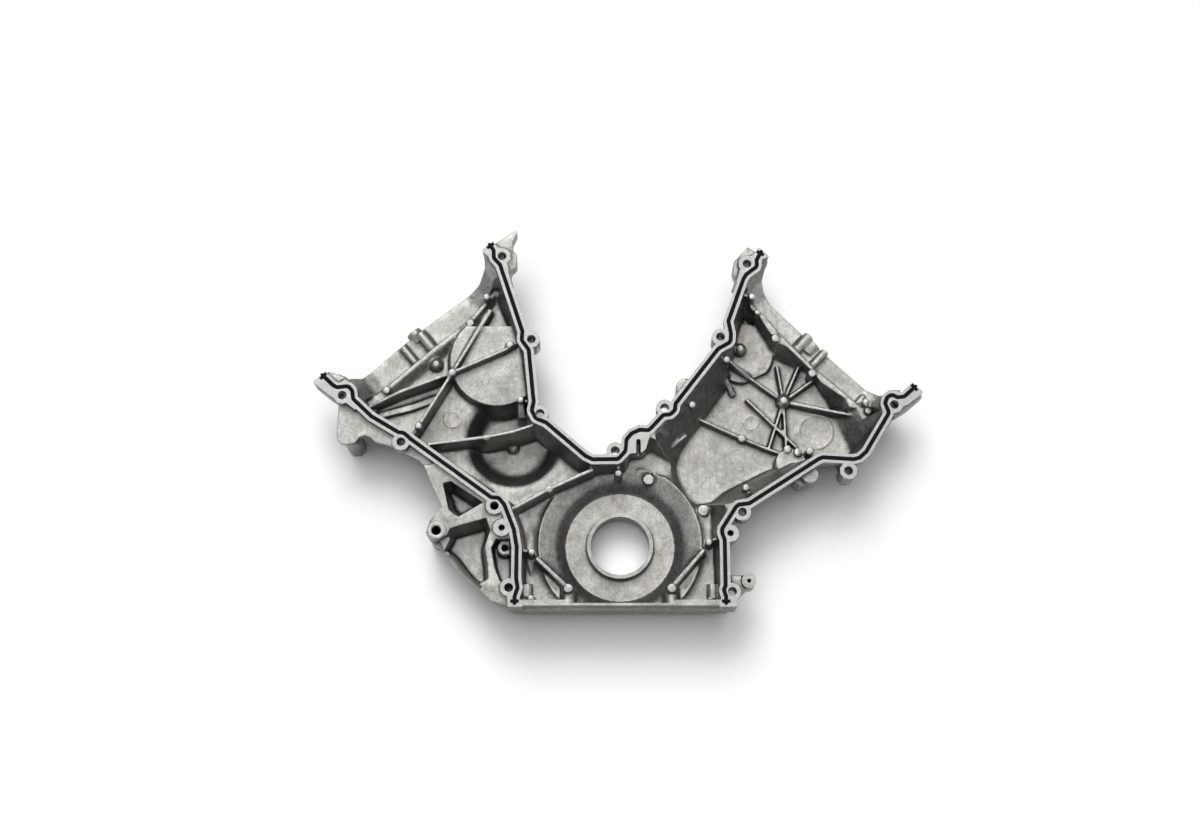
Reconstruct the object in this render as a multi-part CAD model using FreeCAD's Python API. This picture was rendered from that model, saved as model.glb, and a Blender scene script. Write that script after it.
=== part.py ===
import FreeCAD
import Part
import math
import os

from FreeCAD import Vector

os.makedirs("parts", exist_ok=True)

# Timing cover of a V engine, seen from the side that meets the engine.
# Millimetres. Origin on the crank axis at the outer face of the crank seal
# boss, +Z toward the engine, X to the right and Y up as in the photograph.

# Heights above the outer face of the crank seal boss
SEAL_Z = 70.0  # sealing face
FLOOR_Z = 32.0  # floor of the left arm and of the crank space
PLATE_Z = 12.0  # floor of the right arm
DISC_Z = 14.0  # flat around the crank seal
RING_Z = 28.0  # inner end of the crank seal seat
WELL_Z = 4.0  # floor of the deep well in the left arm
PLATEAU_Z = 48.0  # raised round flat in the left arm
STEP_Z = 20.0  # round step in the right arm
BAND_Z = 32.0  # ledge beside the cam cover face
EDGE_Z = 41.0  # rib along the inner edge of that ledge
PAD_Z = 62.0  # tops of the pins and of the crossing ribs
WEB_Z = 58.0  # left web plate
BRACKET_Z = 65.0  # open bracket outside the left wall
FLANGE_Z = 41.0  # oil pan flange
MOUNT_Z = -10.0  # outer faces of the accessory bosses

# Walls, rails and seals
WALL = 5.0
RAIL_W = 11.0
RAIL_H = 12.0
GROOVE_W = 4.6
GROOVE_D = 3.4
SEAL_W = 3.6
SEAL_GAP = 0.15
SEAL_PROUD = 0.8
KEY_W = 9.4
KEY_L = 3.8
BEND_R = 5.0

# Screws and holes
BOLT_R = 4.9  # clearance for the M9 cover bolts
SMALL_R = 3.6
BOSS_R = 9.7
TAP_R = 3.3
MOUNT_TAP_R = 4.2
CRANK_R = 32.5
RING_R = 36.6
DISC_R = 61.0
BOWL_R = 89.0

PLATEAU = (-137.0, 207.0, 52.5)

PAN_Y = -73.0  # oil pan face
PAN_T = 7.5

# Direction along and across each cam cover face
LEFT_U = Vector(0.773, 0.634, 0)
LEFT_N = Vector(-0.634, 0.773, 0)
RIGHT_U = Vector(0.732, -0.682, 0)
RIGHT_N = Vector(0.682, 0.732, 0)
LEFT_REACH = 352.0  # from the crank axis to the plane of the left tips
RIGHT_REACH = 348.5

# Centre lines of the three seals on the sealing face
LEFT_SEAL = [
    (-329.5, 184.2), (-317, 172.5), (-312.5, 170), (-300, 171.5), (-295.5, 166),
    (-294.5, 157), (-274, 137.5), (-244, 119.5), (-238, 118.8), (-229, 111),
    (-141, 46.7), (-133, 46.3), (-126.7, 38.8), (-116, 11.4), (-112.7, -7.6),
    (-113, -42), (-111.3, -52.6), (-114.5, -62), (-114.5, -69),
]
VALLEY_SEAL = [
    (-146.2, 334.6), (-141.3, 328), (-141.2, 319), (-134, 311), (-108.3, 233.7),
    (-109.2, 224), (-101.3, 213), (-95.3, 153.4), (-97.5, 144), (-93, 135),
    (-81.7, 130.4), (-38.7, 93.2), (-30.3, 89), (-2.5, 89.3), (5.7, 98.3),
    (6.9, 111.3), (12.5, 118), (21.5, 122.2), (31.6, 121.6), (47.5, 138.8),
    (55.3, 139.4), (60.4, 144.6), (61, 151.5), (108.8, 214), (122.5, 221.7),
    (123.2, 231), (120.5, 245.8), (138, 294.6), (141.2, 299.8), (153.3, 309),
    (153, 316.5), (158.2, 326),
]
RIGHT_SEAL = [
    (326.2, 171.2), (313.5, 159.7), (306, 158.6), (299.7, 162), (294.4, 158.6),
    (292, 152), (296, 141.3), (269.5, 97.3), (262, 90.8), (255.7, 89.2),
    (222, 91.3), (217, 89.2), (140.7, 40.1), (129, 38.6), (126, 36.2),
    (111, 12.6), (110.5, 7.6), (113.2, 0), (113.6, -50), (111.6, -54.8),
    (114, -62), (114, -69),
]

# Cover bolts: x, y, length of the boss below the sealing face
COVER_BOLTS = [
    (-131.9, 321.1, 32), (-98.4, 225.0, 37), (-88.3, 140.6, 20),
    (-5.5, 98.8, 37), (49.0, 146.9, 24), (111.6, 227.8, 37),
    (142.2, 312.2, 32), (-306.6, 161.2, 30), (-240.8, 108.8, 30),
    (-137.4, 37.6, 37), (-121.0, -52.2, 37), (302.2, 150.6, 30),
    (249.8, 76.4, 40), (133.0, 30.5, 24), (120.9, -56.6, 30),
]
SMALL_BOLTS = [(-129.2, 13.4, 30), (119.6, 7.2, 26)]
BRACKET_BOLT = (-200.8, 11.0)
EAR_BOLT = (139.3, -44.6)
RECESSED_BOLT = (-126.2, -6.7)

# Chamber of the left arm and the crank space: rail centre, then floor corner
CRANK_SPACE = [
    ((-113, -69), (-105, -65)), ((113.5, -69), (105.5, -65)),
    ((113.5, 0), (103, 0)), ((111, 12), (101, 14)), ((122, 34), (100, 42)),
    ((70, 100), (60, 90)), ((33, 119), (36, 104)), ((8, 113), (13, 98)),
    ((3, 94), (5, 80)), ((-32, 89), (-34, 76)), ((-41, 94), (-47, 82)),
    ((-83, 130), (-91, 118)), ((-95, 136), (-104, 133)),
    ((-96, 152), (-104, 152)), ((-103, 213), (-111, 211)),
    ((-109, 232), (-118, 230)), ((-135, 312), (-138, 278)),
    ((-163, 300), (-147, 266)), ((-189, 278), (-161, 243)),
    ((-230, 244), (-202, 210)), ((-283, 199), (-254, 165)),
    ((-297, 166), (-268, 150)), ((-288, 149), (-264, 139)),
    ((-274, 137.6), (-257, 132)), ((-244, 119.7), (-236, 124)),
    ((-229, 111), (-222, 114)), ((-141, 46.7), (-136, 56)),
    ((-127, 39), (-117, 43)), ((-116, 11.4), (-106, 13)),
    ((-113, -8), (-104, -8)),
]

# Chamber of the right arm: rail centre, then floor corner
RIGHT_ARM = [
    ((84, 30), (84, 47)), ((126, 37), (101.5, 50.5)), ((141, 41), (115.4, 62)),
    ((217, 89), (165, 87)), ((256, 89.5), (243, 99)), ((270, 98), (260, 108)),
    ((296, 141), (250, 131)), ((293, 156), (240, 152)), ((275, 160), (231, 171)),
    ((220, 199), (214, 198)), ((183, 244), (173, 217)),
    ((158, 281), (151, 255)), ((138, 300), (141, 262)),
    ((121, 246), (133, 235)), ((122, 228), (130, 214)),
    ((109, 214), (121, 180)), ((61, 151), (84, 129)), ((48, 139), (70, 109.5)),
    ((33, 121), (63, 92)), ((40, 85), (65, 75)), ((62, 55), (74, 57)),
]

# Ledge inside each cam cover face: outer line, then the line of the edge rib
LEFT_BAND = [
    (-311, 176), (-299, 184.5), (-288, 188), (-279.4, 195.8), (-231, 239.5),
    (-200, 262.6), (-169.5, 286), (-157.8, 297), (-151.5, 310), (-152, 326),
    (-133, 311), (-128, 296), (-139, 289), (-168, 252), (-209, 219.5),
    (-262, 174), (-281, 158), (-289, 150), (-301, 162),
]
LEFT_EDGE = [(-281, 158), (-262, 174), (-209, 219.5), (-168, 252.5), (-139, 288)]
RIGHT_BAND = [
    (311, 168), (290, 168), (274.9, 176.5), (204.6, 241.4), (170, 275),
    (163.5, 289), (161, 301), (165, 317), (146, 303), (139, 292), (149.5, 269),
    (163, 255.5), (177, 237.4), (217.5, 196), (270, 150.8), (281, 146),
    (296, 156),
]
RIGHT_EDGE = [(144, 280), (149.5, 269), (163, 255.5), (177, 237.4), (217.5, 196),
              (270, 150.8)]


def ring(points, z):
    corners = [Vector(x, y, z) for x, y in points]
    return Part.makePolygon(corners + corners[:1])


def prism(points, low, high):
    return Part.Face(ring(points, low)).extrude(Vector(0, 0, high - low))


def post(x, y, radius, low, high):
    return Part.makeCylinder(radius, high - low, Vector(x, y, low))


def around(x, y, radius, sides):
    """Corners of a regular outline."""
    turn = 2 * math.pi / sides
    return [(x + radius * math.cos(turn * (k + 0.5)), y + radius * math.sin(turn * (k + 0.5)))
            for k in range(sides)]


def stud(x, y, radius, low, high, sides=8):
    """Upright pin or boss with flat sides, which keeps the part light."""
    return prism(around(x, y, radius, sides), low, high)


def barrel(start, out, radius, length, sides=10):
    """Lying boss with flat sides."""
    across = Vector(out.y, -out.x, 0)
    turn = 2 * math.pi / sides
    corners = [start + across * (radius * math.cos(turn * k))
               + Vector(0, 0, radius * math.sin(turn * k)) for k in range(sides)]
    return Part.Face(Part.makePolygon(corners + corners[:1])).extrude(out * length)


def cone(x, y, low_r, high_r, low, high):
    return Part.makeCone(low_r, high_r, high - low, Vector(x, y, low))


def hopper(x, y, low_r, high_r, low, high, sides=14):
    """Flat-sided cone for the back of a round hollow."""
    return loft(around(x, y, high_r, sides), high, around(x, y, low_r, sides), low)


def grow(points, distance):
    """Corners of an outline moved outward by a distance."""
    moved = []
    count = len(points)
    area = sum(points[i - 1][0] * points[i][1] - points[i][0] * points[i - 1][1]
               for i in range(count))
    if area < 0:
        distance = -distance
    for i in range(count):
        before = Vector(*points[i - 1], 0)
        here = Vector(*points[i], 0)
        after = Vector(*points[(i + 1) % count], 0)
        first = (here - before).normalize()
        second = (after - here).normalize()
        normal = Vector(first.y + second.y, -first.x - second.x, 0)
        normal.normalize()
        reach = distance / max(0.5, normal.dot(Vector(first.y, -first.x, 0)))
        moved.append((here.x + normal.x * reach, here.y + normal.y * reach))
    return moved


def loft(top, top_z, bottom, bottom_z):
    """Flat-sided body between two outlines with equal numbers of corners."""
    low = [Vector(x, y, bottom_z) for x, y in bottom]
    high = [Vector(x, y, top_z) for x, y in top]
    faces = [low, high]
    for i in range(len(low)):
        faces.append([low[i - 1], low[i], high[i]])
        faces.append([low[i - 1], high[i], high[i - 1]])
    return solid_of(faces)


def solid_of(outlines):
    """Solid bounded by flat faces, each given by its corners."""
    faces = [Part.Face(Part.makePolygon(corners + corners[:1])) for corners in outlines]
    solid = Part.makeSolid(Part.makeShell(faces))
    if solid.Volume < 0:
        solid.reverse()
    return solid


def chamber(corners, floor_z):
    """Outer body and inner space of one arm between sealing face and floor."""
    top = [pair[0] for pair in corners]
    floor = [pair[1] for pair in corners]
    half = RAIL_W / 2
    body = loft(grow(top, half - 3), SEAL_Z - 1, grow(floor, WALL), floor_z - WALL)
    space = loft(grow(top, 2 - half), SEAL_Z + 1, floor, floor_z)
    return body, space


def rounded_path(points, radius, z):
    """Open wire whose sharper corners are arcs, within half of their sides."""
    corners = [Vector(x, y, z) for x, y in points]
    edges = []
    last = corners[0]
    for before, here, after in zip(corners, corners[1:], corners[2:]):
        first = (here - before).normalize()
        second = (after - here).normalize()
        turn = first.getAngle(second)
        if turn < 0.5:
            edges.append(Part.makeLine(last, here))
            last = here
            continue
        room = 0.45 * min((here - before).Length, (after - here).Length)
        tangent = min(radius * math.tan(turn / 2), room)
        bend = tangent / math.tan(turn / 2)
        inward = (second - first).normalize()
        start = here - first * tangent
        end = here + second * tangent
        middle = here + inward * (bend * (1 / math.cos(turn / 2) - 1))
        edges.append(Part.makeLine(last, start))
        edges.append(Part.Arc(start, middle, end).toShape())
        last = end
    edges.append(Part.makeLine(last, corners[-1]))
    return Part.Wire(edges)


def stroke(points, width, low, high):
    """Strip of constant width along a rounded path, with round ends."""
    outline = rounded_path(points, BEND_R, low).makeOffset2D(width / 2, 2, False, False)
    return Part.Face(outline).extrude(Vector(0, 0, high - low))


def bar(start, end, width, low, start_z, end_z, draft=0.07):
    """Straight rib with drafted sides and a top that may slope."""
    a = Vector(*start, 0)
    b = Vector(*end, 0)
    along = (b - a).normalize()
    side = Vector(-along.y, along.x, 0)
    highest = max(start_z, end_z)
    quads = []
    for point, top in ((a, start_z), (b, end_z)):
        corners = []
        for z, sign in ((low, -1), (low, 1), (top, 1), (top, -1)):
            half = width / 2 + draft * (highest - z)
            corners.append(point + side * (sign * half) + Vector(0, 0, z))
        quads.append(corners)
    near, far = quads
    faces = [near, far[::-1]]
    for i in range(4):
        faces.append([near[i - 1], near[i], far[i], far[i - 1]])
    return solid_of(faces)


def chain(points, width, low, heights):
    """Rib through several points; the heights are those of its top."""
    parts = []
    for i in range(len(points) - 1):
        parts.append(bar(points[i], points[i + 1], width, low, heights[i], heights[i + 1]))
    return parts


def pin(x, y, low, wall, top=PAD_Z, radius=4.0):
    """Ejector pin pad with the web that ties it to a wall."""
    parts = [stud(x, y, radius, low, top)]
    if wall:
        parts.append(bar((x, y), wall, 3.0, low, top - 5, top - 5))
    return parts


def fuse_all(shapes):
    return shapes[0].multiFuse(shapes[1:])


def end_key(points, width, low, high):
    """Cross bar of the T at the first point of a seal."""
    tip = Vector(*points[0], 0)
    along = (Vector(*points[1], 0) - tip).normalize()
    angle = math.degrees(math.atan2(along.y, along.x))
    key = Part.makeBox(width - KEY_W + KEY_L, width, high - low,
                       Vector(-(width - KEY_W) / 2, -width / 2, low))
    key.rotate(Vector(0, 0, 0), Vector(0, 0, 1), angle)
    key.translate(tip)
    return key


def seal_and_groove(points):
    """Rubber seal and the groove it sits in, with the same keys at the ends."""
    floor = SEAL_Z - GROOVE_D
    groove = [stroke(points, GROOVE_W, floor, SEAL_Z + 2)]
    seal = [stroke(points, SEAL_W, floor, SEAL_Z + SEAL_PROUD)]
    for path in (points, points[::-1]):
        groove.append(end_key(path, KEY_W, floor, SEAL_Z + 2))
        seal.append(end_key(path, KEY_W - 2 * SEAL_GAP, floor, SEAL_Z + 0.2))
    return fuse_all(seal).removeSplitter(), fuse_all(groove)


def saddle(direction, across, low_end, high_end, depth):
    """Space above a ledge: flat in the middle, rising to both tips."""
    rise = [(-38, 66), (-25, 58), (-10, 38), (4, BAND_Z)]
    profile = [(low_end - 60, 66)]
    profile += [(low_end + s, z) for s, z in rise]
    profile += [(high_end - s, z) for s, z in reversed(rise)]
    profile += [(high_end + 60, 66), (high_end + 60, 90), (low_end - 60, 90)]
    corners = [direction * s + across * depth[0] + Vector(0, 0, z) for s, z in profile]
    face = Part.Face(Part.makePolygon(corners + corners[:1]))
    return face.extrude(across * (depth[1] - depth[0]))


# Bodies and spaces of the two chambers
def chambers():
    left_body, left_space = chamber(CRANK_SPACE, FLOOR_Z)
    right_body, right_space = chamber(RIGHT_ARM, PLATE_Z)
    return [left_body, right_body], [left_space, right_space]


# Bowl around the crank seal, drawn as a turned profile
def turned(profile):
    face = Part.Face(Part.makePolygon([Vector(r, 0, z) for r, z in profile + profile[:1]]))
    return face.revolve(Vector(0, 0, 0), Vector(0, 0, 1), 360)


def crank_bowl():
    edge = FLOOR_Z + 4
    space = turned([(0, DISC_Z), (DISC_R, DISC_Z), (DISC_R + 11, DISC_Z + 14),
                    (BOWL_R, edge + 0.1), (BOWL_R, SEAL_Z), (0, SEAL_Z)])
    body = hopper(0, 0, DISC_R + 5, DISC_R + 22, DISC_Z - WALL, FLOOR_Z - 1, 18)
    inside = prism([(-106, -69), (106, -69), (106, 12), (112, 36), (70, 84), (12, 97),
                    (5, 82), (-34, 78), (-48, 84), (-92, 60), (-116, 40), (-105, 10)], 0, 80)
    return body.common(inside), space.common(inside)


# Deep round well in the left arm
def well():
    keep = [(-175, 60), (-60, 60), (-44, 83), (-90, 121), (-102, 133), (-103, 175), (-175, 175)]
    space = cone(-118.5, 119, 39, 53, WELL_Z, FLOOR_Z + 0.5)
    body = hopper(-118.5, 119, 44, 58, WELL_Z - WALL, FLOOR_Z - 1)
    return body.common(prism(grow(keep, WALL), -20, 80)), space.common(prism(keep, -20, 80))


# Raised flat of the left arm, with the round recess behind it. Where it
# meets the well its side runs down to the floor of the well.
def plateau():
    x, y, radius = PLATEAU
    keep = [(-215, 145), (-101, 145), (-106, 212), (-120, 246), (-215, 246)]
    low = WELL_Z - WALL
    flat = cone(x, y, radius + 9, radius, low, PLATEAU_Z).common(prism(keep, low, 80))
    region = prism([(-220, 140), (-90, 140), (-90, 260), (-220, 260)], FLOOR_Z - 4, 80)
    flat = flat.common(region.fuse(well()[0]))
    recess = hopper(x, y, radius + 6, radius - WALL, low - 12, PLATEAU_Z - WALL)
    side = prism([(-215, 100), (-108, 100), (-112, 212), (-124, 244), (-215, 244)], -20, 80)
    return flat, recess.common(side)


# Sealing rails, bolt bosses and the raised tips
def rails():
    parts = []
    for path in (LEFT_SEAL, VALLEY_SEAL, RIGHT_SEAL):
        parts.append(stroke(path, RAIL_W, SEAL_Z - RAIL_H, SEAL_Z))
    for x, y, length in COVER_BOLTS + SMALL_BOLTS:
        parts.append(stud(x, y, BOSS_R, SEAL_Z - length, SEAL_Z, 10))
    return parts


def tips():
    parts = []
    # the wall runs on below the rail at the four tips
    parts.append(stroke([(-334, 181), (-318, 168), (-306, 161)], 14, 34, SEAL_Z))
    parts.append(stroke([(-147, 331), (-138, 322), (-132, 305)], 15, 34, SEAL_Z))
    parts.append(stroke([(160, 322), (150, 314), (141, 302)], 15, 34, SEAL_Z))
    parts.append(stroke([(328, 168), (314, 157), (302, 152)], 14, 34, SEAL_Z))
    parts.append(bar((-306, 162), (-289, 149), 10, 24, SEAL_Z, SEAL_Z))
    parts.append(bar((-134, 318), (-128, 295), 10, 24, SEAL_Z, SEAL_Z))
    parts.append(bar((140, 306), (135, 290), 10, 20, SEAL_Z, SEAL_Z))
    parts.append(bar((302, 152), (288, 132), 10, 20, SEAL_Z, SEAL_Z))
    # walls end in the oil pan face
    parts.append(prism([(-122, PAN_Y), (-106, PAN_Y), (-107, -55), (-123, -50)], 24, SEAL_Z))
    parts.append(prism([(107, PAN_Y), (126, PAN_Y), (127, -55), (107, -50)], 24, SEAL_Z))
    return parts


# Ledges beside the two cam cover faces
def ledges():
    return [prism(LEFT_BAND, 15, 67), prism(RIGHT_BAND, 15, 67)]


def ledge_spaces():
    left = saddle(LEFT_U, LEFT_N, -94, 52, (150, 420))
    left_plan = prism([(-281, 159.5), (-262, 176.3), (-210, 221.8), (-169.5, 255), (-140, 290.5),
                       (-136, 304), (-141, 316), (-149, 322), (-190, 345), (-340, 215),
                       (-300, 178), (-294, 170), (-289.5, 158)], 10, 90)
    right = saddle(RIGHT_U, RIGHT_N, -78, 88, (150, 420))
    right_plan = prism([(151.2, 270.5), (164.8, 257.2), (179, 239.2), (219, 198), (270, 153.5),
                        (289, 152), (291, 162), (299, 170), (330, 185), (190, 330),
                        (160, 318), (150, 305), (142, 297), (143.5, 283)], 10, 90)
    return [left.common(left_plan), right.common(right_plan)]


def edge_ribs():
    parts = []
    for line in (LEFT_EDGE, RIGHT_EDGE):
        heights = [EDGE_Z] * len(line)
        parts += chain(line, 3.4, FLOOR_Z - 10, heights)
    return parts


def edge_trim():
    """Space over the edge ribs, so that they end at their own height."""
    left = prism([(-283, 160), (-262, 178), (-210, 223), (-169.5, 256), (-142, 290),
                  (-133, 288), (-152, 250), (-198, 206), (-250, 161), (-277, 146)],
                 EDGE_Z, 90)
    right = prism([(147, 280), (152, 271), (180, 240), (220, 199), (271, 154), (288, 146),
                   (262, 136), (206, 187), (166, 226), (150, 250), (139, 278)], EDGE_Z, 90)
    return [left, right]


# Half-round screw bosses that run out to the cam cover faces
CAM_SCREWS = [((-227, 236), LEFT_N), ((213, 222), RIGHT_N)]


def cam_screws():
    spots = [
        ((-209, 221), LEFT_N, 26, 6.4), ((-228, 205), LEFT_N, 26, 4.6),
        ((-274, 166), LEFT_N, 21, 3.6), ((196, 219), RIGHT_N, 26, 6.2),
        ((214, 201), RIGHT_N, 26, 4.6), ((264, 158), RIGHT_N, 14, 3.6),
    ]
    parts = []
    for (x, y), out, length, radius in spots:
        parts.append(barrel(Vector(x, y, BAND_Z + 1), out, radius, length))
    for (x, y), out in CAM_SCREWS:
        parts.append(barrel(Vector(x, y, BAND_Z - 5) - out * 4, out, 9.0, 14))
    return parts


def cam_screw_holes():
    parts = []
    for (x, y), out in CAM_SCREWS:
        parts.append(Part.makeCylinder(TAP_R, 22, Vector(x, y, BAND_Z - 5) - out * 8, out))
    return parts


# Crossing ribs and pads of the left arm
def left_ribs():
    hub = (-186.3, 189.4)
    low = FLOOR_Z - 3
    parts = []
    parts += chain([hub, (-126.8, 216), (-112, 226)], 3.0, low, [PAD_Z - 1, PAD_Z - 1, PAD_Z - 1])
    parts += chain([hub, (-243.8, 168.2), (-281, 151)], 3.2, low, [PAD_Z - 1, 58, 52])
    parts += chain([hub, (-145.2, 266)], 3.0, low, [PAD_Z - 1, EDGE_Z + 4])
    parts += chain([hub, (-222.7, 128.8), (-231, 117)], 3.0, low, [PAD_Z - 1, PAD_Z - 2, 56])
    parts += chain([(-221, 106), (-147.7, 115.6), (-119.2, 121.3), (-96, 129)], 3.2, WELL_Z,
                   [64, PAD_Z + 1, PAD_Z + 1, PAD_Z + 1])
    parts += chain([(-120, 35), (-78.1, 57.6), (-30, 80)], 3.6, low, [60, PAD_Z, PAD_Z - 2])
    for x, y in (hub, (-147.7, 115.6), (-78.1, 57.6), (-222.7, 128.8), (-122.8, 221.9)):
        parts.append(stud(x, y, 4.2, low, PAD_Z))
    parts += pin(-110.1, 158.2, low, (-99, 157))
    parts.append(bar((-110, 158), (-109, 140), 6, 8, PAD_Z - 2, 48))
    parts.append(stud(-149.3, 277.5, 3.8, low, PAD_Z - 4))
    for x, y in ((-261, 169.6), (-168, 247.6)):
        parts.append(stud(x, y + 4, 4.2, low, EDGE_Z + 1.5))
    # lip where the sloped side of the long rib meets the floor
    parts += chain([(-270, 145), (-232, 155), (-205, 166)], 7.0, low, [38, 37, 34])
    return parts


# Back of a blind screw boss, seen inside as a dome
def dome(x, y, radius, z):
    low = stud(x, y, radius, z - radius, z + 0.4 * radius)
    cap = loft(around(x, y, 0.45 * radius, 8), z + radius, around(x, y, radius, 8),
               z + 0.4 * radius)
    return low.fuse(cap)


def domes():
    return [
        dome(-206, 204, 7.5, FLOOR_Z + 3), dome(-120, 114.8, 6.8, WELL_Z + 1.5),
        dome(135.5, 223.8, 7.2, STEP_Z + 8), dome(184.3, 165.1, 8.2, PLATE_Z + 8),
    ]


# Pins and ribs of the crank space
def crank_ribs():
    low = FLOOR_Z - 3
    parts = []
    parts += pin(-2.1, 75.5, 24, (-2.1, 88))
    parts += pin(-96.8, -11.9, low, (-112, -8))
    parts += pin(-97.2, -62.8, low, (-112, -62))
    parts += pin(96.6, -0.9, low, (110, 6))
    parts += pin(97.5, -65.0, low, (111, -62))
    parts.append(bar((-92, -17), (-58, -49), 4.2, low - 6, 54, 50))
    parts.append(bar((92, -8), (58, -47), 4.2, low - 6, 54, 50))
    for x in (-56.8, 56.1):
        parts.append(stud(x, -50.5, 5.4, 12, 52))
        parts.append(barrel(Vector(x, -47, 40), Vector(0, -1, 0), 8.0, 22))
        parts.append(prism([(x - 8, PAN_Y + 2), (x + 8, PAN_Y + 2), (x + 8, -47), (x - 8, -47)],
                           DISC_Z - 2, 40))
    for x in (-102.2, 101.1):
        parts.append(barrel(Vector(x, -45, 40), Vector(0, -1, 0), 7.0, 22))
    parts.append(stud(31.5, 72.9, 6.2, 22, 38))
    parts.append(stud(92.2, 38.0, 6.6, 22, 38))
    return parts


# Leaf-shaped pocket in the floor beside the bowl
def leaf_pocket():
    leaf = [(-101, 23), (-93, 12), (-90.5, -2), (-91.5, -14), (-98, -37), (-103, -20), (-104, 0)]
    return prism(leaf, FLOOR_Z - 2.4, FLOOR_Z + 6)


# Machined pad with a slot beside the valley rail
def valley_pad():
    pad = prism([(3, 100), (8.6, 95.3), (24.2, 97), (28.1, 101), (30.5, 109), (33, 117), (30, 124),
                 (12, 118), (5, 112)], FLOOR_Z, SEAL_Z)
    x, end, half = 20.0, 109.5, 2.5
    slot = prism([(x - half, 84), (x + half, 84), (x + half, end), (x - half, end)],
                 SEAL_Z - 22, SEAL_Z + 2)
    return pad, slot.fuse(post(x, end, half, SEAL_Z - 22, SEAL_Z + 2))


# Ribs, pins and step of the right arm
def right_ribs():
    hub = (184.3, 165.1)
    low = PLATE_Z - 3
    top = PLATE_Z + 10
    parts = [cone(139, 222, 36, 34.5, low, STEP_Z).common(
        prism([(124, 178), (150, 192), (178, 205), (178, 262), (140, 268), (128, 240)], 0, 60))]
    spokes = [(146.3, 192.2, 24), (177.6, 207, 22), (202, 205, 24), (222, 192, 26),
              (166.5, 110, 22), (186.5, 108, 22)]
    for x, y, z in spokes:
        parts.append(bar(hub, (x, y), 2.6, low, top, z))
    parts.append(bar((146.3, 192.2), (122, 207.5), 3.0, low, 24, 44))
    parts.append(bar(hub, (266.3, 145.4), 2.6, low, top, 34))
    parts.append(bar((143, 167.4), (198.8, 111.6), 2.6, low, top, top))
    parts.append(bar((174.1, 135), (186, 130.4), 2.4, low, top - 1, top - 1))
    parts += chain([(90, 143.5), (136.8, 122.4), (165.5, 110.5), (184, 104)], 2.8, low,
                   [26, top + 1, top, top])
    parts.append(stud(136.8, 122.4, 4.4, low, top + 2))
    parts.append(bar((112, 203), (128.6, 172.7), 3.0, low, 36, 16))
    parts += pin(147.9, 276.6, 20, (134, 282))
    parts.append(stud(154.6, 262.4, 3.2, 20, PAD_Z - 14))
    parts += pin(118.6, 204.3, low, (108, 212))
    parts += pin(79.9, 152.6, low, (66, 158))
    parts += pin(137.9, 59.4, low, (146, 45))
    for x, y in ((174.8, 233.5), (215.1, 193)):
        parts.append(stud(x, y, 4.4, low, EDGE_Z + 1.5))
    parts.append(stud(273.5, 158, 3.9, low, 52))
    parts.append(stud(276.1, 148.5, 4.1, low, 50))
    parts.append(bar((74.3, 124.6), (33, 90), 3.0, low, 34, 30))
    # round pillar for the lower accessory screws, with its three pads
    parts.append(stud(189.5, 91, 17.0, low, 40, 14))
    for x, y, z in ((197.2, 102.3, 46), (186, 106.5, 42), (210.8, 104.1, 42)):
        parts.append(stud(x, y, 4.6, low, z))
    return parts


# Outside of the left wall: web plate and open bracket
def left_web():
    plate = prism([(-311.6, 156), (-313.2, 115.4), (-309, 109), (-303, 107.8), (-292.5, 110.2),
                   (-288.2, 116.2), (-281.7, 118.8), (-275.7, 116.2), (-270.5, 111),
                   (-252.7, 106), (-220.4, 89.7), (-213.1, 80.5), (-206, 62), (-150, 52),
                   (-229, 111), (-244, 120), (-274, 138), (-290, 150)], WEB_Z - 6, WEB_Z)
    stem = prism([(-311, 150), (-311, 132), (-296, 118), (-280, 120), (-262, 124), (-288, 145)],
                 WEB_Z - 24, WEB_Z - 3)
    return [plate, stem]


def left_bracket():
    outline = [(-216, 84), (-206, 60.4), (-195, 37.2), (-208, 21.4), (-212, 8.2), (-207.2, -1.1),
               (-193.4, -12.8), (-176.4, -35.1), (-163.8, -47.7), (-150.2, -56), (-141, -66),
               (-128, -70), (-112, -72), (-112, 20), (-135, 48), (-190, 86)]
    body = loft(outline, BRACKET_Z, grow(outline, -4), 12)
    lug = stud(*BRACKET_BOLT, 10.2, MOUNT_Z + 12, BRACKET_Z + 1.5, 12)
    return [body, lug]


def bracket_cells():
    """Pockets between the bracket ribs, open toward the engine."""
    upper = [(-195, 64), (-186, 66.5), (-149, 42), (-177, 25.5), (-188, 34)]
    upper_floor = [(-189, 57), (-184, 59), (-161, 43), (-176, 34), (-182, 39)]
    lower = [(-186, 14), (-146, 25.5), (-141.5, 11), (-147, -6), (-144, -26), (-143, -42),
             (-154, -49), (-166, -40), (-184, -17), (-196, -8)]
    low_lip = [(-186, 8), (-190, -8), (-166, -38), (-150, -50), (-156, -62), (-186, -44),
               (-214, -6), (-196, 2)]
    slot = [(-136, 2), (-119.5, 2), (-119, -38), (-121, -43), (-131, -45), (-137, -30), (-141, -8)]
    cells = [
        loft(upper, BRACKET_Z + 3, upper_floor, 27),
        loft(lower, BRACKET_Z + 3, grow(lower, -6), 22),
        prism(low_lip, 46, 90),
        loft(slot, BRACKET_Z + 8, grow(slot, -1.5), 34),
    ]
    return cells


def bracket_details():
    x, y = RECESSED_BOLT
    return [
        stud(x, y, 8.6, 20, SEAL_Z - 16, 12),
        stud(-188.6, 25.1, 5.0, 40, BRACKET_Z + 0.8),
        stud(-141, -50.7, 4.6, 30, BRACKET_Z + 0.8),
        prism([(-197, 1), (-188.5, 15.5), (-186.4, 2.6), (-192.5, -9.9)], 20, WEB_Z - 4),
    ]


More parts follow.
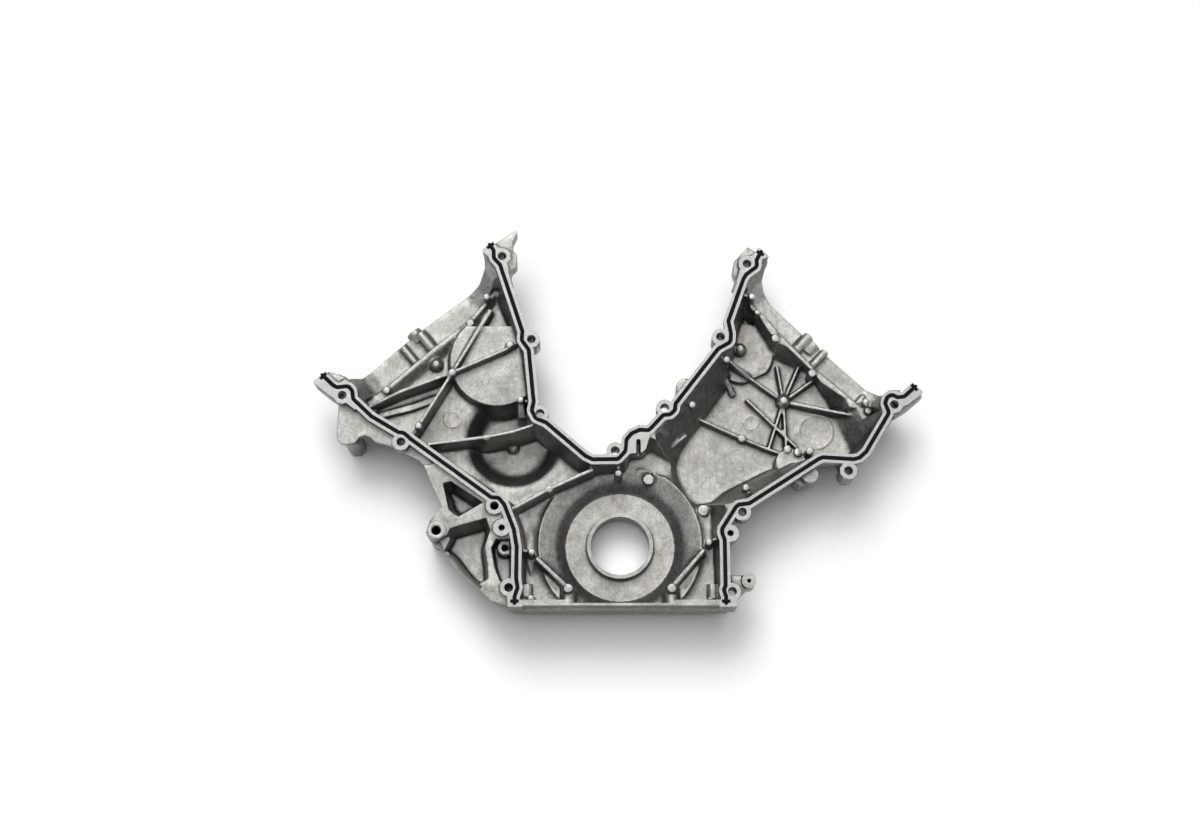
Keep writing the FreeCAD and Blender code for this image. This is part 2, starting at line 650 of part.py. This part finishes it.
# Ears and lugs outside the sealing line
def ears():
    parts = [
        prism([(-146, 333), (-116.8, 352.4), (-115.1, 349.7), (-120.2, 339), (-120.5, 329),
               (-115.7, 324.6), (-115.2, 311.2), (-120.5, 306), (-125, 296), (-137, 318)],
              SEAL_Z - 26, SEAL_Z - 4),
        prism([(143.9, 333.4), (136.9, 326), (128, 316.6), (126, 305.2), (128.4, 297.9),
               (131, 290.7), (140, 300), (153, 318), (158, 324)], SEAL_Z - 26, SEAL_Z - 6),
        prism([(-309, 186), (-325, 189.5), (-330, 182), (-312, 170), (-303, 175), (-303, 185)],
              SEAL_Z - 24, SEAL_Z - 6),
        prism([(334, 160.1), (318, 146.5), (303, 137), (296, 146), (310, 160), (328, 170)],
              SEAL_Z - 22, SEAL_Z - 5),
        prism([(108, -38), (133, -38), (139.3, -37.2), (139.3, -52), (128, -62), (108, -62)],
              SEAL_Z - 20, SEAL_Z - 7),
        stud(*EAR_BOLT, 8.1, SEAL_Z - 34, SEAL_Z - 2, 12),
    ]
    return parts


# Oil pan flange along the bottom
def pan_flange():
    parts = [
        prism([(-118, PAN_Y), (118, PAN_Y), (118, PAN_Y + PAN_T), (-118, PAN_Y + PAN_T)],
              DISC_Z - WALL, FLANGE_Z),
        prism([(-38, PAN_Y), (36, PAN_Y), (32, PAN_Y + PAN_T + 1), (-34, PAN_Y + PAN_T + 1)],
              DISC_Z - WALL, FLANGE_Z + 2),
    ]
    return parts


PAN_HOLES = [(-101.6, 38.0), (-56.8, 38.0), (56.1, 38.0), (101.1, 38.0)]


# Accessory bosses and ribs on the outside
ACCESSORY = [(-297.0, 118.0), (-206, 204), (-200.8, 11.0), (-120, 114.8), (135.5, 223.8),
             (184.3, 165.1), (202.0, 83.0), (73.0, 171.7)]


def outside():
    parts = []
    for x, y in ACCESSORY:
        parts.append(stud(x, y, 10.6, MOUNT_Z, 30))
    parts.append(stud(-297, 118, 10.8, 20, WEB_Z - 6, 10))
    parts.append(stud(202, 76, 12.5, 14, SEAL_Z - 22, 12))
    parts.append(stud(208.6, 73.6, 9.6, 30, SEAL_Z - 8, 12))
    parts.append(stud(73, 171.7, 11.2, 10, SEAL_Z - 10, 12))
    parts.append(bar((73, 171.7), (84, 160), 10, 12, 44, 44))
    parts.append(bar((249.8, 76.4), (243, 94), 8, SEAL_Z - 36, 58, 58))
    parts.append(bar((204, 76), (196, 92), 14, 12, 50, 50))
    # seal boss and its radial ribs
    parts.append(hopper(0, 0, 41, 43, 0, DISC_Z - WALL + 1, 20))
    for k in range(4):
        angle = math.radians(30 + 80 * k)
        reach = 80 if math.sin(angle) > -0.5 else 66
        far = (reach * math.cos(angle), reach * math.sin(angle))
        near = (38 * math.cos(angle), 38 * math.sin(angle))
        parts.append(bar(near, far, 4.4, 3, 22, 28, 0))
    # ribs that tie the accessory bosses together
    ties = [
        ((-206, 204), (-120, 116)), ((-120, 114.8), (-62, 66)), ((135.5, 223.8), (184.3, 165.1)),
        ((184.3, 165.1), (202, 83)), ((-200.8, 11), (-150, 46)),
    ]
    for a, b in ties:
        parts.append(bar(a, b, 4.4, 0, 26, 26, 0))
    return parts


def ring_seat():
    """Turned ring that holds the crank seal."""
    return turned([(CRANK_R, 0), (RING_R, 0), (RING_R, RING_Z), (CRANK_R, RING_Z)])


def screw_holes():
    holes = []
    for x, y, length in COVER_BOLTS:
        holes.append(post(x, y, BOLT_R, SEAL_Z - length - 60, SEAL_Z + 1))
    for x, y, length in SMALL_BOLTS:
        holes.append(post(x, y, SMALL_R, SEAL_Z - length + 6, SEAL_Z + 1))
    holes.append(post(*RECESSED_BOLT, SMALL_R, SEAL_Z - 44, SEAL_Z + 1))
    holes.append(post(*BRACKET_BOLT, BOLT_R, MOUNT_Z - 1, SEAL_Z + 1))
    holes.append(post(*EAR_BOLT, 2.3, SEAL_Z - 20, SEAL_Z + 1))
    for x, y in ACCESSORY:
        if (x, y) != BRACKET_BOLT:
            holes.append(post(x, y, MOUNT_TAP_R, MOUNT_Z - 1, MOUNT_Z + 17))
    for x, z in PAN_HOLES:
        holes.append(Part.makeCylinder(TAP_R, 22, Vector(x, PAN_Y - 1, z), Vector(0, 1, 0)))
    return holes


def beyond(direction, across, reach):
    """Box on the far side of an upright plane."""
    corners = [direction * s + across * t for s, t in
               ((-300, reach), (300, reach), (300, reach + 60), (-300, reach + 60))]
    face = Part.Face(Part.makePolygon(corners + corners[:1]))
    return face.extrude(Vector(0, 0, 100))


def trim_spaces():
    """Everything outside the planes that the cover ends at."""
    return [
        Part.makeBox(900, 60, 200, Vector(-450, PAN_Y - 60, -60)),
        Part.makeBox(900, 600, 60, Vector(-450, -120, SEAL_Z)),
        beyond(LEFT_U, LEFT_N, LEFT_REACH), beyond(RIGHT_U, RIGHT_N, RIGHT_REACH),
    ]


def cover_casting(grooves):
    bodies, spaces = chambers()
    bowl_body, bowl_space = crank_bowl()
    well_body, well_space = well()
    flat, recess = plateau()
    pad, slot = valley_pad()
    solids = bodies + [bowl_body, well_body] + tips() + ledges()
    solids += left_web() + left_bracket() + ears() + pan_flange() + outside()
    casting = fuse_all(solids).removeSplitter()
    cuts = spaces + [bowl_space, well_space] + ledge_spaces() + edge_trim()
    casting = casting.cut(cuts)
    casting = casting.cut(bracket_cells() + [leaf_pocket()]).removeSplitter()
    inner = edge_ribs() + cam_screws() + left_ribs() + domes() + crank_ribs()
    inner += right_ribs() + bracket_details() + [flat, ring_seat(), bowl_edge()]
    lands = fuse_all(rails() + [pad]).removeSplitter()
    casting = casting.multiFuse(inner + [lands]).removeSplitter()
    bore = post(0, 0, CRANK_R, -20, 60)
    casting = casting.cut([recess, slot, bore] + grooves + screw_holes() + cam_screw_holes()
                          + trim_spaces())
    return casting.removeSplitter()


def bowl_edge():
    """Low ridge around the rim of the bowl."""
    ridge = turned([(BOWL_R - 9, FLOOR_Z), (BOWL_R, FLOOR_Z + 4), (BOWL_R + 1.4, FLOOR_Z + 4),
                    (BOWL_R + 4, FLOOR_Z - 2), (BOWL_R - 8, FLOOR_Z - 2)])
    sector = prism([(-30, -20), (-58, -67), (-100, -67), (-104, 40), (-60, 70), (-20, 72),
                    (0, 0)], 0, 80)
    other = prism([(30, -20), (58, -67), (100, -67), (100, 30), (60, 72), (20, 86), (0, 0)], 0, 80)
    return ridge.common(sector.fuse(other))


def main_solid(shape):
    """Largest solid of a result, with the loose slivers dropped."""
    return max(shape.Solids, key=lambda solid: solid.Volume)


left_seal, left_groove = seal_and_groove(LEFT_SEAL)
valley_seal, valley_groove = seal_and_groove(VALLEY_SEAL)
right_seal, right_groove = seal_and_groove(RIGHT_SEAL)
casting = cover_casting([left_groove, valley_groove, right_groove])

nodes = {
    "cover_casting": casting,
    "left_gasket": left_seal,
    "valley_gasket": valley_seal,
    "right_gasket": right_seal,
}
for name, shape in nodes.items():
    solid = main_solid(shape)
    print(name, len(shape.Solids), round(solid.Volume), len(solid.Faces), solid.isValid())
    solid.exportStep("parts/" + name + ".step")
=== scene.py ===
import bmesh
import bpy
import math
import numpy as np
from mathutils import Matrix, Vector


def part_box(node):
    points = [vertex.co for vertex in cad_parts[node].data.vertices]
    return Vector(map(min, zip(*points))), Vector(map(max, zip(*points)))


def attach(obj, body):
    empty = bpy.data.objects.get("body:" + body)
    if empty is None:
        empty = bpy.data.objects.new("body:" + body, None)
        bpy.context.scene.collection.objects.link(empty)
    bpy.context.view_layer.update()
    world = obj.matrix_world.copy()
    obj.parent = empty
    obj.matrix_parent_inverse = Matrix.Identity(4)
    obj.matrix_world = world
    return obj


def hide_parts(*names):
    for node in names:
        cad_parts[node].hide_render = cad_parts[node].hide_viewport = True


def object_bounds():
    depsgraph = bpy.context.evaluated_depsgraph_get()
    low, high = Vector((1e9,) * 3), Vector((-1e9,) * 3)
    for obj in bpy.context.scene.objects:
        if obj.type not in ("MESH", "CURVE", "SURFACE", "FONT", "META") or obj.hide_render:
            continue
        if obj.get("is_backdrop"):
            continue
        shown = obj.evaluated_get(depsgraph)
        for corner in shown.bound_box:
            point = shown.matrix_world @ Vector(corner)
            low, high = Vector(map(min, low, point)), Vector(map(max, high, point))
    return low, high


# Timing cover lying on its outer bosses with the sealing face up. Metres, in
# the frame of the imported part: crank axis at the origin, +Z toward the engine,
# +Y up between the banks.
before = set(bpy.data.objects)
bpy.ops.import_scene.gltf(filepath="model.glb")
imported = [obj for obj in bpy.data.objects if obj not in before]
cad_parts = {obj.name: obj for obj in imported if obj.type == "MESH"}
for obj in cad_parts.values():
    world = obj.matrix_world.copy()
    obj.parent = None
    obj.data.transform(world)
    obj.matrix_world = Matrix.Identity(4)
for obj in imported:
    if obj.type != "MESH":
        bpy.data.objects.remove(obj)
size = {"loaded": [list(map(float, corner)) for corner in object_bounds()]}


# Casting: the cover is one die casting in an aluminium alloy, with drafted
# walls, thin ribs and rounded corners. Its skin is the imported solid, remeshed
# and relaxed so that ribs, walls and floors run together in casting radii.
def baked(piece):
    """The piece's mesh with its modifiers applied."""
    graph = bpy.context.evaluated_depsgraph_get()
    mesh = bpy.data.meshes.new_from_object(piece.evaluated_get(graph))
    piece.modifiers.clear()
    piece.data = mesh
    return mesh


def copy_of(name, title):
    """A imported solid's mesh in an object of its own, its loose faces joined."""
    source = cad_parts[name]
    piece = bpy.data.objects.new(title, source.data.copy())
    bpy.context.scene.collection.objects.link(piece)
    weld = piece.modifiers.new("weld", "WELD")
    weld.merge_threshold = 0.00001
    return piece


def read(mesh):
    """Vertex positions, edges and four-cornered faces as arrays."""
    points = np.empty(len(mesh.vertices) * 3, np.float32)
    mesh.vertices.foreach_get("co", points)
    edges = np.empty(len(mesh.edges) * 2, np.int32)
    mesh.edges.foreach_get("vertices", edges)
    quads = np.empty(len(mesh.loops), np.int32)
    mesh.loops.foreach_get("vertex_index", quads)
    return points.reshape(-1, 3).astype(np.float64), edges.reshape(-1, 2), quads.reshape(-1, 4)


def neighbour_mean(points, edges):
    """The sum of each vertex's neighbours over their number."""
    ends = np.concatenate([edges, edges[:, ::-1]])
    degree = np.bincount(ends[:, 0], minlength=len(points))[:, None]
    return np.stack([np.bincount(ends[:, 0], points[ends[:, 1], axis], minlength=len(points))
                     for axis in range(3)], axis=1) / degree


def normals_of(points, quads):
    """Unit vertex normals, the sum of the cross products of the diagonals of
    the faces round each vertex."""
    face = np.cross(points[quads[:, 2]] - points[quads[:, 0]],
                    points[quads[:, 3]] - points[quads[:, 1]])
    normal = np.stack([np.bincount(quads.ravel(), np.repeat(face[:, axis], 4),
                                   minlength=len(points)) for axis in range(3)], axis=1)
    return normal / (np.linalg.norm(normal, axis=1)[:, None] + 1e-12)


def fade(inside, width):
    """0 up to an edge, then rising in a straight line to 1 over the width."""
    return np.clip(inside / width, 0, 1)


def smoothed(points, edges, rounds):
    """Taubin smoothing: each vertex moves toward the mean of its neighbours by
    a factor, then back by a little more, which rounds corners but keeps the
    bulk. The tops of pins and ribs move less and keep a tight edge."""
    pull, push = 0.5, -0.53
    tops_from, tops_share = 0.058, 0.35
    share = np.where(points[:, 2] > tops_from, tops_share, 1.0)[:, None]
    for step in range(2 * rounds):
        factor = pull if step % 2 == 0 else push
        points = points + factor * share * (neighbour_mean(points, edges) - points)
    return points


def dished(points, edges, quads, centre, inner, outer, low, high, rounds):
    """A dish's flank, between two radii and two heights, moves half the way to
    the mean of its neighbours in each round, so that its cone, its foot and its
    rim run into one soft curve. Only skin that looks up moves, so ribs that
    cross the flank keep their sides."""
    foot_fade, rim_fade, low_fade, high_fade = 0.003, 0.006, 0.001, 0.002
    steepest, tilt_fade = 0.15, 0.2
    radius = np.hypot(points[:, 0] - centre[0], points[:, 1] - centre[1])
    share = fade(radius - inner, foot_fade) * fade(outer - radius, rim_fade)
    share *= fade(points[:, 2] - low, low_fade) * fade(high - points[:, 2], high_fade)
    share *= fade(normals_of(points, quads)[:, 2] - steepest, tilt_fade)
    # only the vertices at the flank are worked on, numbered afresh
    near = edges[(share[edges] > 0).any(axis=1)]
    members, local = np.unique(near, return_inverse=True)
    local = local.reshape(-1, 2)
    patch = points[members]
    step = 0.5 * share[members][:, None]
    for _ in range(rounds):
        patch = patch + step * (neighbour_mean(patch, local) - patch)
    points = points.copy()
    points[members] = patch
    return points


def filleted(points, edges, quads, rounds):
    """Casting radii: where the skin is hollow, each vertex moves along its
    normal n by half the way to the mean of its neighbours. Upright walls, with
    n_z near 0, stay put, so that holes keep their size."""
    upright, upright_fade = 0.12, 0.2
    for step in range(rounds):
        if step % 4 == 0:
            normal = normals_of(points, quads)
            slope = fade(np.abs(normal[:, 2]) - upright, upright_fade)
        out = ((neighbour_mean(points, edges) - points) * normal).sum(axis=1)
        points = points + (0.5 * slope * np.maximum(out, 0))[:, None] * normal
    return points


VOXEL = 0.0009  # squares of the remeshed skin
CRANK_R = 0.0325  # bore for the crank seal
RING_R = 0.0366  # outside of the ring round the bore
RING_Z = 0.028  # top of the ring
DISC_R = 0.061  # edge of the flat disc round the ring
DISC_Z = 0.014  # face of the disc


def set_back(points):
    """The skin sinks a little under the turned seat, which is a piece of its
    own: lower at the flat disc and the ring, wider round the bore."""
    sunk, widened = 0.0003, 0.0002
    slack = 0.0012  # skin this near the disc's face belongs to it
    disc_edge, ring_side, ring_top = DISC_R - 0.0005, RING_R + 0.001, RING_Z + 0.002
    bore_foot = -0.001
    radius = np.hypot(points[:, 0], points[:, 1])
    highest = np.where(radius < ring_side, ring_top, DISC_Z + slack)
    inner = (radius < disc_edge) & (points[:, 2] > DISC_Z - slack) & (points[:, 2] < highest)
    points[inner, 2] = DISC_Z - sunk
    bore = (radius < CRANK_R + VOXEL) & (points[:, 2] > bore_foot) & (points[:, 2] < DISC_Z)
    points[bore, :2] *= ((CRANK_R + widened) / radius[bore])[:, None]
    return points


def marked(points, quads):
    """Shallow round marks that the ejector pins left on the floors, as raised
    rings, and the moat round the pad beside the bowl: each shifts the skin
    that looks up by height * exp(-((distance - radius) / width)^2)."""
    tilted, tilt_fade = 0.8, 0.15
    up = fade(normals_of(points, quads)[:, 2] - tilted, tilt_fade)
    for x, y, radius, width, height, low, high in (
        (-0.1873, 0.1423, 0.0092, 0.0010, 0.0005, 0.030, 0.034),  # ledge of the left arm
        (0.1483, 0.1426, 0.0079, 0.0010, 0.0005, 0.010, 0.014),  # floor of the right arm
        (0.2206, 0.1321, 0.0190, 0.0014, 0.0006, 0.010, 0.014),  # the same, farther out
        (0.0315, 0.0729, 0.0083, 0.0015, -0.0018, 0.022, 0.0365),  # moat
    ):
        away = np.hypot(points[:, 0] - x, points[:, 1] - y) - radius
        here = up * (points[:, 2] > low) * (points[:, 2] < high)
        points[:, 2] += here * height * np.exp(-((away / width) ** 2))
    return points


def hollowness(points, edges, quads):
    """0 on sharp edges over 0.5 on flats to 1 in corners: how far the mean of
    the skin within about 2 mm lies outside the skin, over the full scale."""
    full_scale, rounds = 0.0012, 6
    soft = points
    for _ in range(rounds):
        soft = neighbour_mean(soft, edges)
    depth = ((soft - points) * normals_of(points, quads)).sum(axis=1)
    return np.clip(0.5 + depth / full_scale, 0, 1)


SEAL_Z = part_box("cover_casting")[1][2]  # machined sealing face
LAND_LOW = SEAL_Z - 0.0028  # the rails are skin below this and machined lands above


def cast_body():
    """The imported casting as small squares, shaped, then thinned."""
    overlap = 0.0002  # of the skin over the lower edge of the lands
    triangles = 190000
    piece = copy_of("cover_casting", "casting_skin")
    remesh = piece.modifiers.new("remesh", "REMESH")
    remesh.mode = "VOXEL"
    remesh.voxel_size = VOXEL
    mesh = baked(piece)
    points, edges, quads = read(mesh)
    points = smoothed(points, edges, rounds=3)
    # the bowl round the crank, then the deep round well of the left arm
    points = dished(points, edges, quads, centre=(0, 0), inner=DISC_R, outer=0.104,
                    low=0.010, high=0.036, rounds=100)
    points = dished(points, edges, quads, centre=(-0.1185, 0.119), inner=0.030, outer=0.064,
                    low=0.003, high=0.036, rounds=150)
    points = filleted(points, edges, quads, rounds=36)
    points = marked(set_back(points), quads)
    recess = mesh.attributes.new("recess", "FLOAT", "POINT")
    recess.data.foreach_set("value", hollowness(points, edges, quads).astype(np.float32))
    points[:, 2] = np.minimum(points[:, 2], LAND_LOW + overlap)
    mesh.vertices.foreach_set("co", points.astype(np.float32).ravel())
    mesh.update()
    thin = piece.modifiers.new("thin", "DECIMATE")
    thin.ratio = triangles / (2 * len(mesh.polygons))
    mesh = baked(piece)
    mesh.shade_smooth()
    return piece


def node(tree, kind, inputs=None, **settings):
    """A shader node with its inputs set, or linked where a socket is given."""
    made = tree.nodes.new(kind)
    for key, value in settings.items():
        setattr(made, key, value)
    for key, value in (inputs or {}).items():
        if isinstance(value, bpy.types.NodeSocket):
            tree.links.new(value, made.inputs[key])
        else:
            made.inputs[key].default_value = value
    return made


def math_node(tree, operation, first, second):
    return node(tree, "ShaderNodeMath", {0: first, 1: second}, operation=operation).outputs[0]


def mix_colour(tree, factor, first, second):
    """The first colour at factor 0, the second at 1."""
    return node(tree, "ShaderNodeMix", {0: factor, 6: first, 7: second},
                data_type="RGBA").outputs[2]


def ramp(tree, value, start, end, at_start=0.0, at_end=1.0):
    """A value that runs from at_start to at_end while the given one runs from
    start to end, and stays there outside them."""
    return node(tree, "ShaderNodeMapRange", {"Value": value, 1: start, 2: end, 3: at_start,
                                             4: at_end}).outputs[0]


def noise(tree, place, scale, detail, rough=0.5, twist=0.0):
    return node(tree, "ShaderNodeTexNoise", {"Vector": place, "Scale": scale, "Detail": detail,
                                             "Roughness": rough, "Distortion": twist}).outputs[0]


def aluminium():
    """Cast aluminium after years of use: light and dark patches, brown stains,
    dirt with painted shade in the corners, rubbed edges with a painted highlight,
    a painted shadow round the foot of the ring and a fine grain. The recess
    attribute tells corners from edges. Milled faces are even and a little lighter."""
    skin_dark, skin_light = (0.135, 0.133, 0.126, 1), (0.215, 0.212, 0.200, 1)
    # the second colour here is dirt with painted shade, for the corners
    stained, dirt_and_painted_shade = (0.115, 0.103, 0.080, 1), (0.055, 0.052, 0.047, 1)
    # the first colour here is wear with a painted highlight, for sharp edges
    wear_and_painted_highlight, milled = (0.29, 0.287, 0.278, 1), (0.185, 0.184, 0.179, 1)
    # a painted shadow for the foot of the ring
    painted_ring_shadow = (0.03, 0.029, 0.027, 1)

    material = bpy.data.materials.new("cast_aluminium")
    material.use_nodes = True
    tree = material.node_tree
    tree.nodes.clear()
    place = node(tree, "ShaderNodeTexCoord").outputs["Object"]
    split = node(tree, "ShaderNodeSeparateXYZ", {0: place})
    recess = node(tree, "ShaderNodeAttribute", attribute_name="recess").outputs["Fac"]

    # patches, stains, dirt with painted shade in the corners and rubbed edges with a painted
    # highlight, one over the other
    cloud = noise(tree, place, scale=22.0, detail=5.0, rough=0.62)
    cast = mix_colour(tree, ramp(tree, cloud, 0.32, 0.68), skin_dark, skin_light)
    spot = noise(tree, place, scale=34.0, detail=6.0, rough=0.7, twist=0.6)
    cast = mix_colour(tree, ramp(tree, spot, 0.56, 0.72, 0.0, 0.55), cast, stained)
    # darker in the corners: dirt and painted shade
    cast = mix_colour(tree, ramp(tree, recess, 0.55, 0.88, 0.0, 0.75), cast, dirt_and_painted_shade)
    # lighter on sharp edges: wear and a painted highlight
    cast = mix_colour(tree, ramp(tree, recess, 0.42, 0.05, 0.0, 0.7), cast, wear_and_painted_highlight)

    # flecks and short streaks from the die, and wormy mottling
    speck = noise(tree, place, scale=420.0, detail=3.0, rough=0.6)
    along = node(tree, "ShaderNodeMapping", {"Vector": place, "Rotation": (0, 0, 0.8),
                                             "Scale": (300, 80, 200)}).outputs[0]
    streak = noise(tree, along, scale=1.0, detail=4.0)
    both = math_node(tree, "ADD", math_node(tree, "MULTIPLY", speck, 0.7),
                     math_node(tree, "MULTIPLY", streak, 0.3))
    worm = noise(tree, place, scale=120.0, detail=6.0, rough=0.72, twist=0.8)
    shade = math_node(tree, "MULTIPLY", ramp(tree, both, 0.34, 0.66, 0.68, 1.28),
                      ramp(tree, worm, 0.34, 0.62, 0.76, 1.14))
    cast = node(tree, "ShaderNodeVectorMath", {0: cast, 1: shade}, operation="MULTIPLY").outputs[0]

    # painted shadow in the corner round the foot of the ring
    level = node(tree, "ShaderNodeCombineXYZ", {0: split.outputs[0], 1: split.outputs[1]}).outputs[0]
    radius = node(tree, "ShaderNodeVectorMath", {0: level}, operation="LENGTH").outputs["Value"]
    foot = ramp(tree, radius, RING_R + 0.0012, RING_R + 0.0032, 0.9, 0.0)
    outside = math_node(tree, "GREATER_THAN", radius, RING_R - 0.0001)
    low = math_node(tree, "LESS_THAN", split.outputs[2], DISC_Z + 0.004)
    foot = math_node(tree, "MULTIPLY", foot, math_node(tree, "MULTIPLY", outside, low))
    cast = mix_colour(tree, foot, cast, painted_ring_shadow)

    # the sealing face is milled; everything has low waves and a fine grain
    top = math_node(tree, "GREATER_THAN", split.outputs[2], SEAL_Z - 0.00012)
    wave = noise(tree, place, scale=75.0, detail=3.0)
    wavy = node(tree, "ShaderNodeBump", {"Strength": 0.30, "Distance": 0.002, "Height": wave})
    grain = noise(tree, place, scale=1400.0, detail=2.0)
    grainy = node(tree, "ShaderNodeBump", {"Strength": 0.45, "Distance": 0.0005, "Height": grain,
                                           "Normal": wavy.outputs[0]})
    metal = node(tree, "ShaderNodeBsdfPrincipled", {
        "Base Color": mix_colour(tree, top, cast, milled),
        "Metallic": 1.0,
        "Roughness": ramp(tree, speck, 0.3, 0.7, 0.30, 0.50),
        "Normal": grainy.outputs[0],
    })
    node(tree, "ShaderNodeOutputMaterial", {"Surface": metal.outputs[0]})
    return material


cast_aluminium = aluminium()


def in_metal(piece):
    """The piece in cast aluminium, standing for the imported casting."""
    piece.data.materials.clear()
    piece.data.materials.append(cast_aluminium)
    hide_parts("cover_casting")
    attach(piece, "root")


in_metal(cast_body())


# Machined lands: the tops of the rails and of the bolt bosses are milled flat
# after casting, so the seal grooves and the holes have hard edges there. They
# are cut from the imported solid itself.
def cut_from_solid(title, trim):
    """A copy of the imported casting, cut down by trim, with hard edges where its
    faces meet at an angle, and with the recess attribute of a flat."""
    hard_edge = math.radians(28)
    flat_recess = 0.5
    piece = copy_of("cover_casting", title)
    mesh = baked(piece)
    work = bmesh.new()
    work.from_mesh(mesh)
    trim(work)
    work.to_mesh(mesh)
    work.free()
    if "custom_normal" in mesh.attributes:
        mesh.attributes.remove(mesh.attributes["custom_normal"])
    mesh.shade_smooth()
    mesh.set_sharp_from_angle(angle=hard_edge)
    recess = mesh.attributes.new("recess", "FLOAT", "POINT")
    recess.data.foreach_set("value", np.full(len(mesh.vertices), flat_recess, np.float32))
    return piece


def to_lands(work):
    everything = work.verts[:] + work.edges[:] + work.faces[:]
    bmesh.ops.bisect_plane(work, geom=everything, plane_co=(0, 0, LAND_LOW), plane_no=(0, 0, 1),
                           clear_inner=True)


in_metal(cut_from_solid("machined_lands", to_lands))


# Turned seat: the bore for the crank seal, the ring standing round it and the
# flat disc are turned in the casting, so they keep the clean circles of the
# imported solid.
def to_seat(work):
    slack, level_within = 0.0002, 0.00002
    others = []
    for face in work.faces:
        reach = max(math.hypot(vert.co.x, vert.co.y) for vert in face.verts)
        flat = all(abs(vert.co.z - DISC_Z) < level_within for vert in face.verts)
        if not (reach < RING_R + slack or (flat and reach < DISC_R + slack)):
            others.append(face)
    bmesh.ops.delete(work, geom=others, context="FACES")


in_metal(cut_from_solid("turned_seat", to_seat))


# Seals: three beads of black rubber pressed into the grooves of the rails, as
# packed. The rubber is matt and hardly shines.
def rubber():
    material = bpy.data.materials.new("seal_rubber")
    material.use_nodes = True
    skin = material.node_tree.nodes["Principled BSDF"]
    skin.inputs["Base Color"].default_value = (0.007, 0.007, 0.0075, 1)
    skin.inputs["Roughness"].default_value = 0.8
    skin.inputs["Specular IOR Level"].default_value = 0.06
    return material


seal_rubber = rubber()
for name in ("left_gasket", "valley_gasket", "right_gasket"):
    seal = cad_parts[name]
    seal.data.materials.clear()
    seal.data.materials.append(seal_rubber)


# Floor: a plain white table top that the outer bosses stand on, with its edge
# far off. It isn't part of the object.
floor_width = 30
floor_z = size["loaded"][0][2]
bpy.ops.mesh.primitive_plane_add(size=floor_width, location=(0, 0, floor_z))
floor = bpy.context.object
floor.name = "floor"
white = bpy.data.materials.new("floor_white")
white.use_nodes = True
sheet = white.node_tree.nodes["Principled BSDF"]
sheet.inputs["Base Color"].default_value = (0.9, 0.9, 0.9, 1)
sheet.inputs["Roughness"].default_value = 0.9
floor.data.materials.append(white)
floor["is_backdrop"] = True


# Light: a white room that fills the shadow on the floor, with more of it for
# the metal to mirror and full white past the floor's edge, then soft light
# from above and a window, and two reflectors that light no matt surface.
room_fill, room_mirrored, room_seen = 0.14, 0.71, 0.86
world = bpy.data.worlds.new("world")
bpy.context.scene.world = world
world.use_nodes = True
room = world.node_tree
ray = node(room, "ShaderNodeLightPath")
mirrored = math_node(room, "MULTIPLY", ray.outputs["Is Glossy Ray"], room_mirrored)
seen = math_node(room, "MULTIPLY", ray.outputs["Is Camera Ray"], room_seen)
strength = math_node(room, "ADD", math_node(room, "ADD", mirrored, seen), room_fill)
room.nodes["Background"].inputs["Color"].default_value = (1, 1, 1, 1)
room.links.new(strength, room.nodes["Background"].inputs["Strength"])

for name, energy, angle, direction in (
    ("overhead", 2.0, 60, (-0.08, 0.28, 1.0)),
    ("window", 1.7, 36, (-0.15, 0.85, 1.0)),
    ("reflector_left", 0.6, 50, (-0.8, -0.55, 0.5)),
    ("reflector_right", 0.9, 60, (0.8, -0.15, 0.5)),
):
    lamp = bpy.data.lights.new(name, "SUN")
    lamp.energy = energy
    lamp.angle = math.radians(angle)
    sun = bpy.data.objects.new(name, lamp)
    bpy.context.scene.collection.objects.link(sun)
    sun.rotation_euler = Vector(direction).to_track_quat("Z", "Y").to_euler()
    sun.visible_diffuse = not name.startswith("reflector")


# Camera: over a point of the sealing face, a little off square toward the oil
# pan side, at the distance that shrinks the floors as in the photograph.
camera_aim = Vector((-0.022216, 0.13309, SEAL_Z))
camera_away = 2.300
camera_tilt = math.radians(12.5)
camera = bpy.data.objects.new("camera", bpy.data.cameras.new("camera"))
bpy.context.scene.collection.objects.link(camera)
camera.location = camera_aim + camera_away * Vector((0, -math.sin(camera_tilt),
                                                     math.cos(camera_tilt)))
camera.rotation_euler = (camera_tilt, 0, 0)
camera.data.sensor_width = 36.0
camera.data.lens = 62.73
bpy.context.scene.camera = camera
bpy.context.scene.view_settings.view_transform = "Standard"

size["finished"] = [list(map(float, corner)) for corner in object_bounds()]
